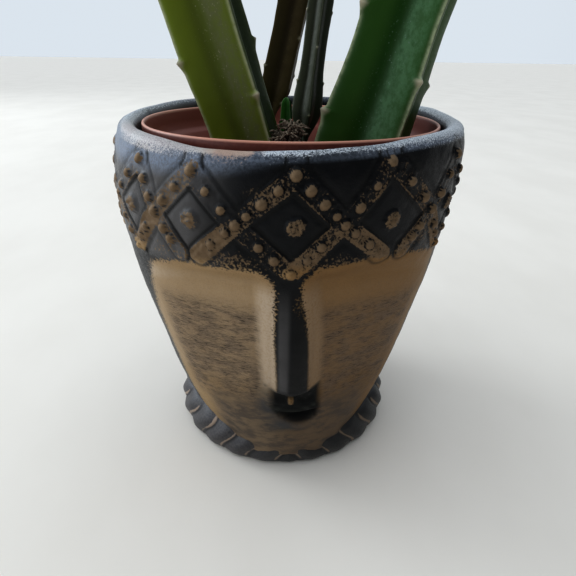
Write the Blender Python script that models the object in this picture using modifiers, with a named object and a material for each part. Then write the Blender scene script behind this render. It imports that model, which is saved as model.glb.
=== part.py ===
"""A potted stapelia: four-angled succulent stems in a growing pot, inside a planter cast as a stylised head.

Metres, +Z up. The origin is the middle of the planter's flat underside, and the face looks towards -Y.
"""
import bisect
import math

import bmesh
import bpy
from mathutils import Matrix, Vector, noise

MM = 0.001
MERGE = 0.01 * MM
CLEARANCE = 0.3 * MM

# Planter body: pairs of height and radius up the bare outside, pairs of radius and height over the lip and
# down the cavity, all in millimetres, and the heights that carry a row of vertices
BODY_PROFILE = [
    (0, 31.8), (12, 36.6), (25, 40.7), (40, 44.3), (55, 47.6), (70, 50.3), (85, 51.9), (95, 52.4),
    (101, 52.1), (106, 51.1),
]
LIP_OUTER = [(51.5, 105.2), (50.4, 106.8), (48.9, 107.4), (47.3, 106.9), (46.2, 105.4)]
CAVITY_PROFILE = [(45.9, 102.5), (45.6, 85), (38.4, 38), (31.0, 16)]
BODY_ROWS = [97, 88, 80.5, 76, 71, 64, 57, 50, 44, 39.5, 36.4, 33.8, 31, 28.2, 26, 23.6, 20.5, 15, 9.5, 5.5]
BODY_BOTTOM = 3.0 * MM
CAVITY_FLOOR = 16.0 * MM
BODY_STEPS = 50
FRONT_CROWDING = 0.64
MOUTH_SHIFT = 1.7 * MM
SHIFT_HEIGHTS = (86.0 * MM, 107.5 * MM)

# The uneven lip: the height of its crest, in millimetres, at azimuths in degrees from the front, and the
# heights between which the body takes it up
LIP_CREST = 107.4 * MM
CREST_HEIGHTS = [
    (-180, 111.1), (-135, 110.9), (-95, 109.3), (-60, 108.3), (-46, 107.9), (-35, 107.2), (-25, 106.7),
    (-4, 107.1), (20, 108.1), (35, 109.0), (82, 109.4), (110, 110.7), (180, 111.1),
]
CREST_TAKE_UP = (94.0 * MM, 105.0 * MM)

# Face: heights on the body, spans round it in degrees from the front, and depths
BROW_HEIGHTS = (75.5 * MM, 80.5 * MM)
CHEEK_DEPTH = 2.6 * MM
CHEEK_SIDE = (22.0, 48.0)
CHEEK_FOOT = (22.0 * MM, 46.0 * MM)
NOSE_BRIDGE = (80.0 * MM, 50.0 * MM)
NOSE_TIP = (33.8 * MM, 36.4 * MM)
NOSE_RISE = 2.3 * MM
NOSE_HALF_WIDTH = 4.3 * MM
CHIN_RADIUS = 40.3 * MM
CHIN_SLOPE = 0.045
CHIN_SIDE = (8.0, 58.0)
CHIN_FOOT = (2.0 * MM, 5.5 * MM)

# Upper lip and mouth, as soft ovals: middle height, half width, half height and rise
MOUTH_AZIMUTH = 1.5
UPPER_LIP = (29.6 * MM, 9.0 * MM, 4.2 * MM, 1.0 * MM)
MOUTH_GROOVE = (24.2 * MM, 7.0 * MM, 2.6 * MM, -1.5 * MM)

# Collar: the rope-like foot that the chin hangs over, its strands slanting down and away from the chin
COLLAR_PROFILE = [(38.9, 0), (39.8, 1.4), (40.3, 5.2), (39.5, 9.0), (36.4, 12.4)]
COLLAR_TOP = 13.0 * MM
COLLAR_TOP_RADIUS = 32.0 * MM
COLLAR_STEPS = 72
COLLAR_STRANDS = 24
STRAND_RISE = 0.8 * MM
STRAND_SLANT = 1.1 * math.pi

# Headband: a lattice of raised bands, a bead at each crossing and between them, and a stud in each diamond
DIAMONDS = 14
LATTICE_TOP = 102.7 * MM
TOP_FOLLOWS_CREST = 0.5
LATTICE_CROSSING = 91.2 * MM
LATTICE_BOTTOM = 79.1 * MM
BROW_BAND_END = 83.0 * MM
CHEEK_SPAN = (10.0, 50.0)
TOP_LIFTS = {1: 1.7}
TOP_SHIFTS = {-2: 3.9, -1: -3.1, 0: -2.3, 1: -3.8}
CROSSING_SHIFTS = {-2: -2.2, -1: -2.9, 0: -1.2, 1: 2.7}
FOOT_SHIFTS = {-2: -0.9, -1: -4.7, 0: -1.5, 1: 2.8}
STUD_SHIFTS = {-1: -2.5, 0: -0.8, 1: -0.7}
BAND_WIDTH = 4.4 * MM
BAND_RISES = (0.6 * MM, 0.85 * MM)
BAND_ROOT = 0.9 * MM
BAND_CUTS = 3
BEAD_RADIUS = 1.6 * MM
BEAD_LIFT = -0.05 * MM
STUD_RADIUS = 3.0 * MM
STUD_LIFT = -1.4 * MM

# Growing pot: a thin standard 9 cm pot, standing on the planter's floor, whose wall steps out to its rim
POT_BASE = CAVITY_FLOOR + CLEARANCE
POT_RIM_RADIUS = 45.0 * MM
POT_RIM_TOP = 108.3 * MM
POT_RIM_BAND = 8.0 * MM
POT_RIM_ROUNDING = 0.5 * MM
POT_RIM_TAPER = 0.2 * MM
POT_NECK_RADIUS = 42.9 * MM
POT_STEP_HEIGHT = 1.5 * MM
POT_BASE_RADIUS = 27.6 * MM
POT_WALL = 1.0 * MM
POT_FLOOR_THICKNESS = 1.2 * MM
POT_STEPS = 40
DRAIN_HOLES = 6
DRAIN_HOLE_RADIUS = 2.8 * MM
DRAIN_HOLE_SIDES = 12
DRAIN_CIRCLE = 19.0 * MM

# Soil: a mound whose rings are shares of its radius, and a lump of fibre
SOIL_EDGE = 92.0 * MM
SOIL_MOUND = 6.0 * MM
SOIL_ROUGHNESS = 1.6 * MM
SOIL_GRAIN = 180.0
SOIL_STEPS = 28
SOIL_RINGS = (0.25, 0.5, 0.72, 0.88)
LUMP_PLACE = Vector((0.8, -8.5, 101.6)) * MM
LUMP_RADIUS = 5.6 * MM
LUMP_GRAIN = 420.0
LUMP_ROUGHNESS = 0.35

# Stems, in millimetres and degrees: place on the soil, length above it and below it, slope of the axis and
# how it straightens per metre, rib radius at the soil and above the swell, the heights of the swell, heights
# and share of the narrowing above it, turn of the first rib, sides, and the pitch of the teeth with the
# height of one tooth on each of the four ribs
STEM_SOIL = 95.0 * MM
STEMS = {
    "stem_left": dict(place=(-9.4, -2.4), length=124, buried=12, slope=(-0.33, -0.02), straighten=0.53,
                      radius=(12.2, 12.9), swell=(0, 34), narrowing=(56, 124, 0.12), turn=34.5, sides=12,
                      pitch=27, nodes=(4.5, 19.0, 4.5, 19.0)),
    "stem_right": dict(place=(22.5, -3.6), length=138, buried=12, slope=(0.292, -0.03), straighten=0.88,
                       radius=(17.7, 15.0), swell=(0, 40), narrowing=(62, 138, 0.12), turn=19.3, sides=12,
                       pitch=27, nodes=(26.5, 12.8, 12.8, 26.5)),
    "stem_back_left": dict(place=(-6.9, 22.5), length=96, buried=12, slope=(0.255, 0.12), straighten=0.5,
                           radius=(2.6, 7.0), swell=(11, 21), narrowing=(43, 96, 0.12), turn=38.0, sides=8,
                           pitch=20, nodes=(26.0, 16.0, 26.0, 16.0)),
    "stem_back_right": dict(place=(6.4, 13.5), length=70, buried=12, slope=(0.125, 0.04), straighten=0.4,
                            radius=(1.8, 5.3), swell=(3, 14), narrowing=(14, 27, 0.22), turn=5.0, sides=8,
                            pitch=20, nodes=(23.0, 13.0, 23.0, 13.0)),
    "shoot": dict(place=(0.9, 9.5), length=18.5, buried=8, slope=(0.0, -0.02), straighten=0.0,
                  radius=(2.4, 2.6), swell=(0, 8), narrowing=(9, 18, 0.25), turn=30.0, sides=8, pitch=14,
                  nodes=(11.0, 11.0, 11.0, 11.0)),
}
STRAIGHTEN_HEIGHT = 60.0 * MM
FACE_DENT = 0.13
RIB_CROWDING = math.radians(11.5)
RIBS = 4
TOOTH_RISE = 0.095
TOOTH_BELOW = 2.8 * MM
TOOTH_ABOVE = 1.2 * MM
FOOT_ROUNDING = 0.02 * MM
TIP_RINGS = (0.75, 0.5, 0.28, 0.12, 0.03, 0.0)

# Base colour and roughness of each node
FINISHES = {
    "planter": ((0.055, 0.06, 0.07), 0.55), "nursery_pot": ((0.32, 0.085, 0.05), 0.45),
    "soil": ((0.05, 0.035, 0.025), 0.95), "stem_left": ((0.07, 0.11, 0.02), 0.4),
    "stem_right": ((0.03, 0.10, 0.02), 0.4), "stem_back_left": ((0.07, 0.04, 0.025), 0.45),
    "stem_back_right": ((0.08, 0.09, 0.06), 0.45), "shoot": ((0.03, 0.13, 0.03), 0.4),
}
SHARP_ANGLE = math.radians(35.0)


def smooth(low, high, value):
    """Go from 0 at low to 1 at high, with no corner at either end."""
    t = min(max((value - low) / (high - low), 0.0), 1.0)
    return t * t * (3.0 - 2.0 * t)


def body_radius(z):
    """Radius of the bare body at a height, on a smooth curve through BODY_PROFILE."""
    heights = [height * MM for height, _ in BODY_PROFILE]
    radii = [radius * MM for _, radius in BODY_PROFILE]
    last = len(heights) - 1
    z = min(max(z, heights[0]), heights[last])
    i = min(bisect.bisect_right(heights, z) - 1, last - 1)

    def slope(k):
        low, high = max(k - 1, 0), min(k + 1, last)
        return (radii[high] - radii[low]) / (heights[high] - heights[low])

    span = heights[i + 1] - heights[i]
    t = (z - heights[i]) / span
    return ((2 * t**3 - 3 * t**2 + 1) * radii[i] + (t**3 - 2 * t**2 + t) * span * slope(i)
            + (3 * t**2 - 2 * t**3) * radii[i + 1] + (t**3 - t**2) * span * slope(i + 1))


def oval_relief(azimuth, z, radius, oval):
    """Height of a soft oval swelling, or of a groove where its rise is negative."""
    centre, half_width, half_height, rise = oval
    across = math.radians(azimuth - MOUTH_AZIMUTH) * radius / half_width
    along = (z - centre) / half_height
    return rise * math.sqrt(max(0.0, 1.0 - across**2 - along**2))


def face_relief(azimuth, z):
    """Height of the face above the bare body, at an azimuth in degrees from the front."""
    across = abs(azimuth)
    radius = body_radius(z)
    nose = math.sqrt(max(0.0, 1.0 - (math.radians(across) * radius / NOSE_HALF_WIDTH) ** 2))
    bridge = NOSE_RISE * smooth(*NOSE_BRIDGE, z) * smooth(*NOSE_TIP, z)
    hollow = smooth(*CHEEK_FOOT, z) * (1.0 - smooth(*BROW_HEIGHTS, z)) * (1.0 - smooth(*CHEEK_SIDE, across))
    beyond_body = max(0.0, CHIN_RADIUS + CHIN_SLOPE * z - radius)
    chin = beyond_body * (1.0 - smooth(*CHIN_SIDE, across)) * smooth(*CHIN_FOOT, z)
    lips = oval_relief(azimuth, z, radius, UPPER_LIP) + oval_relief(azimuth, z, radius, MOUTH_GROOVE)
    return nose * bridge - (1.0 - nose) * CHEEK_DEPTH * hollow + chin + lips


def crest_height(azimuth):
    """Height of the lip's crest at an azimuth in degrees from the front."""
    places = [place for place, _ in CREST_HEIGHTS]
    i = min(max(bisect.bisect_right(places, azimuth) - 1, 0), len(places) - 2)
    low, high = CREST_HEIGHTS[i], CREST_HEIGHTS[i + 1]
    share = (azimuth - low[0]) / (high[0] - low[0])
    return MM * (low[1] + share * (high[1] - low[1]))


def crest_lift(azimuth, z):
    """How far a point near the lip is moved up or down to follow the crest."""
    return (crest_height(azimuth) - LIP_CREST) * smooth(*CREST_TAKE_UP, z)


def on_body(azimuth, z, rise=0.0):
    """The point on the planter's outside at an azimuth from the front, lifted by rise.

    The cast mouth lies a little to one side, so the top of the body leans that way.
    """
    reach = body_radius(z) + face_relief(azimuth, z) + rise
    angle = math.radians(azimuth)
    shift = MOUTH_SHIFT * smooth(*SHIFT_HEIGHTS, z)
    return Vector((shift + reach * math.sin(angle), -reach * math.cos(angle), z))


def add_object(name, mesh, collection):
    made = bpy.data.objects.new(name, mesh)
    collection.objects.link(made)
    return made


def object_from(bm, name, collection):
    """Turn a bmesh into a linked object with its faces pointing out."""
    bmesh.ops.recalc_face_normals(bm, faces=bm.faces)
    mesh = bpy.data.meshes.new(name)
    bm.to_mesh(mesh)
    bm.free()
    return add_object(name, mesh, collection)


def helper_collection(name):
    made = bpy.data.collections.new(name)
    bpy.context.scene.collection.children.link(made)
    return made


def apply_modifiers(item):
    """Replace the object's mesh by its evaluated one."""
    graph = bpy.context.evaluated_depsgraph_get()
    mesh = bpy.data.meshes.new_from_object(item.evaluated_get(graph))
    item.modifiers.clear()
    item.data = mesh


def turned(name, profile, steps, collection):
    """Turn a profile of radius and height, run down its outer side, round Z."""
    mesh = bpy.data.meshes.new(name)
    edges = [(i, i + 1) for i in range(len(profile) - 1)]
    mesh.from_pydata([(radius, 0.0, z) for radius, z in profile], edges, [])
    item = add_object(name, mesh, collection)
    screw = item.modifiers.new("Turn", "SCREW")
    screw.steps = steps
    screw.render_steps = steps
    screw.use_merge_vertices = True
    screw.merge_threshold = MERGE
    apply_modifiers(item)
    return item


def boolean(item, operation, collection):
    """Join the item with everything in a collection, or cut it by that, and drop the collection."""
    step = item.modifiers.new(operation.title(), "BOOLEAN")
    step.operation = operation
    step.operand_type = "COLLECTION"
    step.collection = collection
    apply_modifiers(item)
    for used in list(collection.objects):
        bpy.data.objects.remove(used)
    bpy.data.collections.remove(collection)


def as_cutter(item):
    item.hide_render = True
    item.display_type = "WIRE"


def finish_surface(item):
    """Give a node its own material and smooth its shading, but for its sharp edges."""
    colour, roughness = FINISHES[item.name]
    finish = bpy.data.materials.new(item.name + "_finish")
    finish.use_nodes = True
    shader = finish.node_tree.nodes["Principled BSDF"]
    shader.inputs["Base Color"].default_value = (*colour, 1.0)
    shader.inputs["Roughness"].default_value = roughness
    shader.inputs["Metallic"].default_value = 0.0
    item.data.materials.clear()
    item.data.materials.append(finish)
    item.data.shade_smooth()
    item.data.set_sharp_from_angle(angle=SHARP_ANGLE)


def in_metres(points):
    return [(radius * MM, z * MM) for radius, z in points]


def make_body(collection):
    """The cast body with its cavity: turned, crowded towards the front and raised into the face."""
    outside = [(body_radius(z * MM), z * MM) for z in BODY_ROWS] + [(body_radius(BODY_BOTTOM), BODY_BOTTOM)]
    inside = in_metres(reversed(CAVITY_PROFILE)) + in_metres(reversed(LIP_OUTER))
    profile = [(0.0, CAVITY_FLOOR)] + inside + outside + [(0.0, BODY_BOTTOM)]
    body = turned("planter", profile, BODY_STEPS, collection)
    for vertex in body.data.vertices:
        x, y, z = vertex.co
        reach = math.hypot(x, y)
        if reach < MERGE:
            continue
        turn = math.atan2(x, -y)
        turn -= FRONT_CROWDING * math.sin(turn)
        if z < outside[0][1] + MERGE and reach > body_radius(z) - MERGE:
            vertex.co = on_body(math.degrees(turn), z)
        else:
            height = z + crest_lift(math.degrees(turn), z)
            vertex.co = (MOUTH_SHIFT + reach * math.sin(turn), -reach * math.cos(turn), height)
    return body


def make_collar(collection):
    """The foot disc, whose side is raised into slanted strands."""
    top = [(0.0, COLLAR_TOP), (COLLAR_TOP_RADIUS, COLLAR_TOP)]
    profile = top + in_metres(reversed(COLLAR_PROFILE)) + [(0.0, 0.0)]
    collar = turned("collar", profile, COLLAR_STEPS, collection)
    for vertex in collar.data.vertices:
        x, y, z = vertex.co
        reach = math.hypot(x, y)
        if reach < COLLAR_TOP_RADIUS + MERGE or z < MERGE:
            continue
        level = 2.0 * z / COLLAR_TOP - 1.0
        phase = COLLAR_STRANDS * abs(math.atan2(x, -y)) + STRAND_SLANT * level
        rise = -0.5 * STRAND_RISE * math.cos(phase) * (1.0 - level**2)
        vertex.co.x += rise * x / reach
        vertex.co.y += rise * y / reach


def lattice_node(level, index):
    """Azimuth and height of a crossing of the lattice, with the unevenness of handwork near the front."""
    pitch = 360.0 / DIAMONDS
    if level == "top":
        azimuth = index * pitch + TOP_SHIFTS.get(index, 0.0)
        follow = TOP_FOLLOWS_CREST * (crest_height((azimuth + 180.0) % 360.0 - 180.0) - crest_height(0.0))
        return azimuth, LATTICE_TOP + follow + TOP_LIFTS.get(index, 0.0) * MM
    if level == "crossing":
        return (index + 0.5) * pitch + CROSSING_SHIFTS.get(index, 0.0), LATTICE_CROSSING
    if level == "stud":
        return index * pitch + STUD_SHIFTS.get(index, 0.0), LATTICE_CROSSING
    return index * pitch + FOOT_SHIFTS.get(index, 0.0), LATTICE_BOTTOM


def over_cheek(azimuth):
    """Whether an azimuth lies over a hollow cheek, where the brow ends the lattice early."""
    across = abs((azimuth + 180.0) % 360.0 - 180.0)
    return CHEEK_SPAN[0] < across < CHEEK_SPAN[1]


def bands():
    """Each band's three places, from its top through its crossing to its foot, stopped short at the brow."""
    for index in range(-DIAMONDS // 2, DIAMONDS // 2):
        for top, foot in ((index, index + 1), (index + 1, index)):
            start, end = lattice_node("top", top), lattice_node("bottom", foot)
            middle = lattice_node("crossing", index)
            if over_cheek(end[0]):
                share = (middle[1] - BROW_BAND_END) / (middle[1] - end[1])
                end = (middle[0] + share * (end[0] - middle[0]), BROW_BAND_END)
            yield start, middle, end


def make_band(places, rise, bm):
    """Add to bm a raised strip through three places, from a box with cuts across it, bent onto the body."""
    first, middle, last = places
    radius = body_radius(middle[1])
    run = Vector((math.radians(last[0] - first[0]) * radius, last[1] - first[1]))
    side = Vector((-run.y, run.x)).normalized() * 0.5 * BAND_WIDTH
    box = bmesh.new()
    bmesh.ops.create_cube(box, size=2.0)
    long_edges = [edge for edge in box.edges if abs(edge.verts[0].co.x - edge.verts[1].co.x) > 1.0]
    bmesh.ops.subdivide_edges(box, edges=long_edges, cuts=BAND_CUTS, use_grid_fill=True)
    for vertex in box.verts:
        along, across = vertex.co.x, vertex.co.y
        far = last if along > 0.0 else first
        azimuth = middle[0] + abs(along) * (far[0] - middle[0]) + math.degrees(across * side.x / radius)
        height = middle[1] + abs(along) * (far[1] - middle[1]) + across * side.y
        vertex.co = on_body(azimuth, height, rise if vertex.co.z > 0.0 else -BAND_ROOT)
    strip = bpy.data.meshes.new("strip")
    box.to_mesh(strip)
    box.free()
    bm.from_mesh(strip)
    bpy.data.meshes.remove(strip)


def add_bead(bm, place, radius, lift):
    """A bead at an azimuth and height, its middle above or, if lift is negative, below the surface."""
    middle = Matrix.Translation(on_body(*place, lift))
    bmesh.ops.create_icosphere(bm, subdivisions=1, radius=radius, matrix=middle)


def make_headband():
    """The bands, beads and studs, as solids to be joined to the body."""
    solids = helper_collection("headband")
    leftward, rightward, beads = bmesh.new(), bmesh.new(), bmesh.new()
    for places in bands():
        if places[0][0] > places[2][0]:
            make_band(places, BAND_RISES[1], leftward)
        else:
            make_band(places, BAND_RISES[0], rightward)
        for near, far in zip(places, places[1:]):
            add_bead(beads, (0.5 * (near[0] + far[0]), 0.5 * (near[1] + far[1])), BEAD_RADIUS, BEAD_LIFT)
    for index in range(-DIAMONDS // 2, DIAMONDS // 2):
        for level in ("top", "crossing", "bottom"):
            place = lattice_node(level, index)
            if level != "bottom" or not over_cheek(place[0]):
                add_bead(beads, place, BEAD_RADIUS, BEAD_LIFT)
        add_bead(beads, lattice_node("stud", index), STUD_RADIUS, STUD_LIFT)
    for name, bm in (("leftward", leftward), ("rightward", rightward), ("beads", beads)):
        object_from(bm, name, solids)
    return solids


def make_planter(collection):
    planter = make_body(collection)
    foot = helper_collection("foot")
    make_collar(foot)
    boolean(planter, "UNION", foot)
    boolean(planter, "UNION", make_headband())
    finish_surface(planter)


def make_nursery_pot(collection):
    """A thin pot with a stepped rim and drain holes."""
    floor = POT_BASE + POT_FLOOR_THICKNESS
    rim_inner = POT_RIM_RADIUS - POT_WALL
    band_foot = POT_RIM_TOP - POT_RIM_BAND
    profile = [
        (0.0, floor), (POT_BASE_RADIUS - POT_WALL, floor),
        (POT_NECK_RADIUS - POT_WALL, band_foot), (rim_inner - POT_RIM_TAPER, band_foot + POT_STEP_HEIGHT),
        (rim_inner, POT_RIM_TOP - POT_RIM_ROUNDING), (POT_RIM_RADIUS - POT_RIM_ROUNDING, POT_RIM_TOP),
        (POT_RIM_RADIUS, POT_RIM_TOP - POT_RIM_ROUNDING), (POT_RIM_RADIUS - POT_RIM_TAPER, band_foot),
        (POT_NECK_RADIUS, band_foot - POT_RIM_ROUNDING),
        (POT_BASE_RADIUS, POT_BASE + POT_WALL), (POT_BASE_RADIUS - POT_WALL, POT_BASE), (0.0, POT_BASE),
    ]
    pot = turned("nursery_pot", profile, POT_STEPS, collection)
    holes = helper_collection("drain_holes")
    for index in range(DRAIN_HOLES):
        turn = math.tau * index / DRAIN_HOLES
        middle = Vector((DRAIN_CIRCLE * math.cos(turn), DRAIN_CIRCLE * math.sin(turn), floor))
        drill = bmesh.new()
        bmesh.ops.create_cone(
            drill, cap_ends=True, segments=DRAIN_HOLE_SIDES, radius1=DRAIN_HOLE_RADIUS,
            radius2=DRAIN_HOLE_RADIUS, depth=4.0 * POT_FLOOR_THICKNESS, matrix=Matrix.Translation(middle))
        as_cutter(object_from(drill, "drain_hole", holes))
    boolean(pot, "DIFFERENCE", holes)
    pot.data.transform(Matrix.Translation((MOUTH_SHIFT, 0.0, 0.0)))
    finish_surface(pot)


def stem_axis(stem, height):
    """Point of a stem's axis at a height above the soil: it leans, and slowly straightens."""
    lift = max(height, 0.0)
    bend = stem["straighten"] * lift * lift / (1.0 + lift / STRAIGHTEN_HEIGHT)
    slope_x, slope_y = stem["slope"]
    place_x, place_y = stem["place"]
    x = place_x * MM + slope_x * height - math.copysign(bend, slope_x)
    return Vector((x, place_y * MM + slope_y * height, STEM_SOIL + height))


def stem_reach(stem, height, angle):
    """Distance of the skin from the axis: four ribs, dented faces between them, and a tooth at each node."""
    low, high = stem["radius"]
    pitch = stem["pitch"] * MM
    swell_start, swell_end = stem["swell"]
    narrowing_start, narrowing_end, share = stem["narrowing"]
    radius = MM * (low + (high - low) * smooth(swell_start * MM, swell_end * MM, height))
    radius *= 1.0 - share * smooth(narrowing_start * MM, narrowing_end * MM, height)
    rib = round(angle / (0.5 * math.pi))
    from_rib = abs(angle - rib * 0.5 * math.pi)
    flat_face = math.cos(0.25 * math.pi) / math.cos(0.25 * math.pi - from_rib)
    dent = FACE_DENT * math.sin(2.0 * from_rib) ** 2
    node = stem["nodes"][rib % RIBS] * MM
    above_node = (height - node + 0.5 * pitch) % pitch - 0.5 * pitch
    tooth = max(0.0, min(1.0 + above_node / TOOTH_BELOW, 1.0 - above_node / TOOTH_ABOVE))
    on_edge = from_rib < 0.5 * RIB_CROWDING and height > 0.0
    return radius * (flat_face - dent + (TOOTH_RISE * tooth if on_edge else 0.0))


def ring_heights(stem):
    """Heights of a stem's rings: its foot, three to each node of teeth, and its rounded tip."""
    bottom, top = -stem["buried"] * MM, stem["length"] * MM
    tip, pitch = stem["radius"][1] * MM, stem["pitch"]
    laps = range(math.ceil(stem["length"] / pitch))
    levels = sorted({node % pitch + lap * pitch for node in stem["nodes"] for lap in laps})
    heights = [bottom, bottom + FOOT_ROUNDING]
    for level in levels:
        node = level * MM
        if node + TOOTH_ABOVE > top - tip:
            break
        for height in (node - TOOTH_BELOW, node, node + TOOTH_ABOVE):
            if height > heights[-1] + FOOT_ROUNDING:
                heights.append(height)
    return heights + [top - tip * share for share in TIP_RINGS]


def make_stem(name, stem, collection, grow=0.0):
    """A stem from a sphere whose rings are drawn out along the axis, its skin moved out by grow."""
    heights = ring_heights(stem)
    last = len(heights) - 1
    top, tip = heights[-1], stem["radius"][1] * MM
    bm = bmesh.new()
    bmesh.ops.create_uvsphere(bm, u_segments=stem["sides"], v_segments=last, radius=1.0)
    for vertex in bm.verts:
        ring = round(math.acos(min(max(-vertex.co.z, -1.0), 1.0)) / math.pi * last)
        height = heights[ring]
        angle = math.atan2(vertex.co.y, vertex.co.x)
        angle -= RIB_CROWDING * math.sin(4.0 * angle)
        past_tip = max(0.0, (height - (top - tip)) / tip)
        closing = math.sqrt(max(0.0, 1.0 - past_tip**2))
        reach = stem_reach(stem, height, angle) * closing + grow if 0 < ring < last else 0.0
        along = (stem_axis(stem, height + MM) - stem_axis(stem, height - MM)).normalized()
        across = along.cross(Vector((1.0, 0.0, 0.0))).normalized()
        turn = angle + math.radians(stem["turn"])
        end = -grow if ring <= 1 else grow * past_tip
        skin = across.cross(along) * math.cos(turn) + across * math.sin(turn)
        vertex.co = stem_axis(stem, height) + end * along + reach * skin
    return object_from(bm, name, collection)


def make_soil(collection):
    """Soil heaped to a crumbly mound, with a lump of fibre, and plain holes that the stems stand in."""
    floor = POT_BASE + POT_FLOOR_THICKNESS + CLEARANCE
    neck = POT_RIM_TOP - POT_RIM_BAND
    low_radius = POT_BASE_RADIUS - POT_WALL - 1.5 * CLEARANCE
    neck_radius = POT_NECK_RADIUS - POT_WALL - 1.5 * CLEARANCE
    edge_radius = low_radius + (neck_radius - low_radius) * (SOIL_EDGE - floor) / (neck - floor)
    mound = [(share * edge_radius, SOIL_EDGE + SOIL_MOUND * (1.0 - smooth(0.0, 1.0, share)))
             for share in SOIL_RINGS]
    side = [(edge_radius, SOIL_EDGE), (low_radius, floor), (0.0, floor)]
    profile = [(0.0, SOIL_EDGE + SOIL_MOUND)] + mound + side
    soil = turned("soil", profile, SOIL_STEPS, collection)
    for vertex in soil.data.vertices:
        if vertex.co.z > SOIL_EDGE + MERGE:
            vertex.co.z += SOIL_ROUGHNESS * noise.noise(vertex.co * SOIL_GRAIN)
    soil.data.transform(Matrix.Translation((MOUTH_SHIFT, 0.0, 0.0)))
    lumps = helper_collection("lumps")
    lump = bmesh.new()
    middle = Matrix.Translation(LUMP_PLACE)
    bmesh.ops.create_icosphere(lump, subdivisions=1, radius=LUMP_RADIUS, matrix=middle)
    for vertex in lump.verts:
        vertex.co += (vertex.co - LUMP_PLACE) * LUMP_ROUGHNESS * noise.noise(vertex.co * LUMP_GRAIN)
    object_from(lump, "lump", lumps)
    boolean(soil, "UNION", lumps)
    for name, stem in STEMS.items():
        hole = helper_collection("hole_for_" + name)
        as_cutter(make_stem("hole", stem, hole, grow=CLEARANCE))
        boolean(soil, "DIFFERENCE", hole)
    finish_surface(soil)


def main():
    for item in list(bpy.data.objects):
        bpy.data.objects.remove(item)
    parts = helper_collection("potted_stapelia")
    make_planter(parts)
    make_nursery_pot(parts)
    make_soil(parts)
    for name, stem in STEMS.items():
        finish_surface(make_stem(name, stem, parts))


main()
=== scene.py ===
"""Looks of the potted stapelia: a painted, gold-rubbed planter, its growing pot, soil and toothed stems."""
import math

import bmesh
import bpy
import numpy as np
from mathutils import Matrix, Vector, noise


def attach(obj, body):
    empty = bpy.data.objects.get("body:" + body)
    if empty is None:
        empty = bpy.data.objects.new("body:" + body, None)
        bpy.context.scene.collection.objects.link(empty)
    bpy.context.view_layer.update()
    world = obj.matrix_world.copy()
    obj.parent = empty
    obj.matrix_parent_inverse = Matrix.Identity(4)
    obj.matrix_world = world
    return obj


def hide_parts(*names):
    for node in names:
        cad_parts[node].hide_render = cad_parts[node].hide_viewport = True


MM = 0.001

# Camera, fitted to the rim, outline and foot in the photograph: focal length in pixels of its 576 pixel
# frame, place in metres in the face's own directions, and angles in degrees
FRAME_PIXELS = 576
FOCAL_PIXELS = 435
SENSOR = 36
CAMERA_PLACE = (0.00162, -0.1449, 0.1246)
CAMERA_PITCH = 27.81
CAMERA_ROLL = 0.82
FACE_TURN = 4

# Planter, in millimetres as in the solids: heights and radii up the bare body, radii and heights over the
# lip and up the cavity
BODY_PROFILE = [(0, 31.8), (12, 36.6), (25, 40.7), (40, 44.3), (55, 47.6), (70, 50.3), (85, 51.9),
                (95, 52.4), (101, 52.1), (106, 51.1)]
LIP_PROFILE = [(46, 104.2), (46.15, 105.2), (46.5, 106), (47.1, 106.7), (47.9, 107.2), (48.8, 107.4),
               (49.6, 107.3), (50.3, 107), (50.9, 106.45), (51.25, 105.8)]
CAVITY_PROFILE = [(15, 16), (31, 16), (34.6, 27), (38.4, 38), (42.2, 62), (45.6, 85),
                  (45.8, 95), (45.9, 102)]
LIP_CREST = 107.4
CREST_HEIGHTS = [(-180, 111.1), (-135, 110.9), (-95, 109.3), (-60, 108.3), (-46, 107.9), (-35, 107.2),
                 (-25, 106.7), (-4, 107.1), (20, 108.1), (35, 109), (82, 109.4), (110, 110.7),
                 (180, 111.1)]
CREST_TAKE_UP = (94, 105)
BODY_ROWS = [(105, 78, 76), (77.3, 66, 15), (65, 20, 46), (19, 3, 18)]
COLUMNS = 540
FRONT_CROWDING = 0.5
MOUTH_SHIFT = 1.7
SHIFT_HEIGHTS = (86, 107.5)
SWELL = 0.3

# Headband lattice, in degrees and millimetres
DIAMONDS = 14
LATTICE_TOP = 102.7
TOP_FOLLOWS_CREST = 0.5
TOP_LIFTS = {1: 1.7}
LATTICE_CROSSING = 91.2
LATTICE_BOTTOM = 79.1
LATTICE_FADE = (76.5, 78.5)
BROW_BAND_END = 82.3
CHEEK_SPAN = (10, 50)
TOP_SHIFTS = {-2: 3.9, -1: -3.1, 0: -2.3, 1: -3.8}
CROSSING_SHIFTS = {-2: -2.2, -1: -2.9, 0: -1.2, 1: 2.7}
FOOT_SHIFTS = {-2: -0.9, -1: -4.7, 0: -1.5, 1: 2.8}
STUD_SHIFTS = {-1: -2.5, 0: -0.8, 1: -0.7}
STUD_HEIGHT = 91.2
HEADBAND_RADIUS = 52.3
BAND_HALF_WIDTH = 2.35
BEAD_RADIUS = 1.45
BEAD_SIZES = (0.86, 1.08)
BEAD_SEED = 5
STUD_RADIUS = 2.65
STUD_RISE = 1.35
SIDE_FLATTENING = 0.55
FLAT_SIDE_START = (52, 68)
FLAT_SIDE_END = (122, 106)
SPARSE_BEADS = (0, 0.37, 0.71, 1, 1.42, 1.69)
DENSE_BEADS = (0, 0.28, 0.55, 0.8, 1, 1.25, 1.62)

# How much gold clings inside a band above and below its crossing, by the numbers of its top and foot
BAND_GOLD = {(-2, -1): (0.32, 0.44), (-1, -2): (0.54, 0.66), (-1, 0): (0.3, 0.4), (0, -1): (0.43, 0.64),
             (0, 1): (0.36, 0.6), (1, 0): (0.42, 0.54)}
PLAIN_GOLD = (0.38, 0.52)


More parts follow.
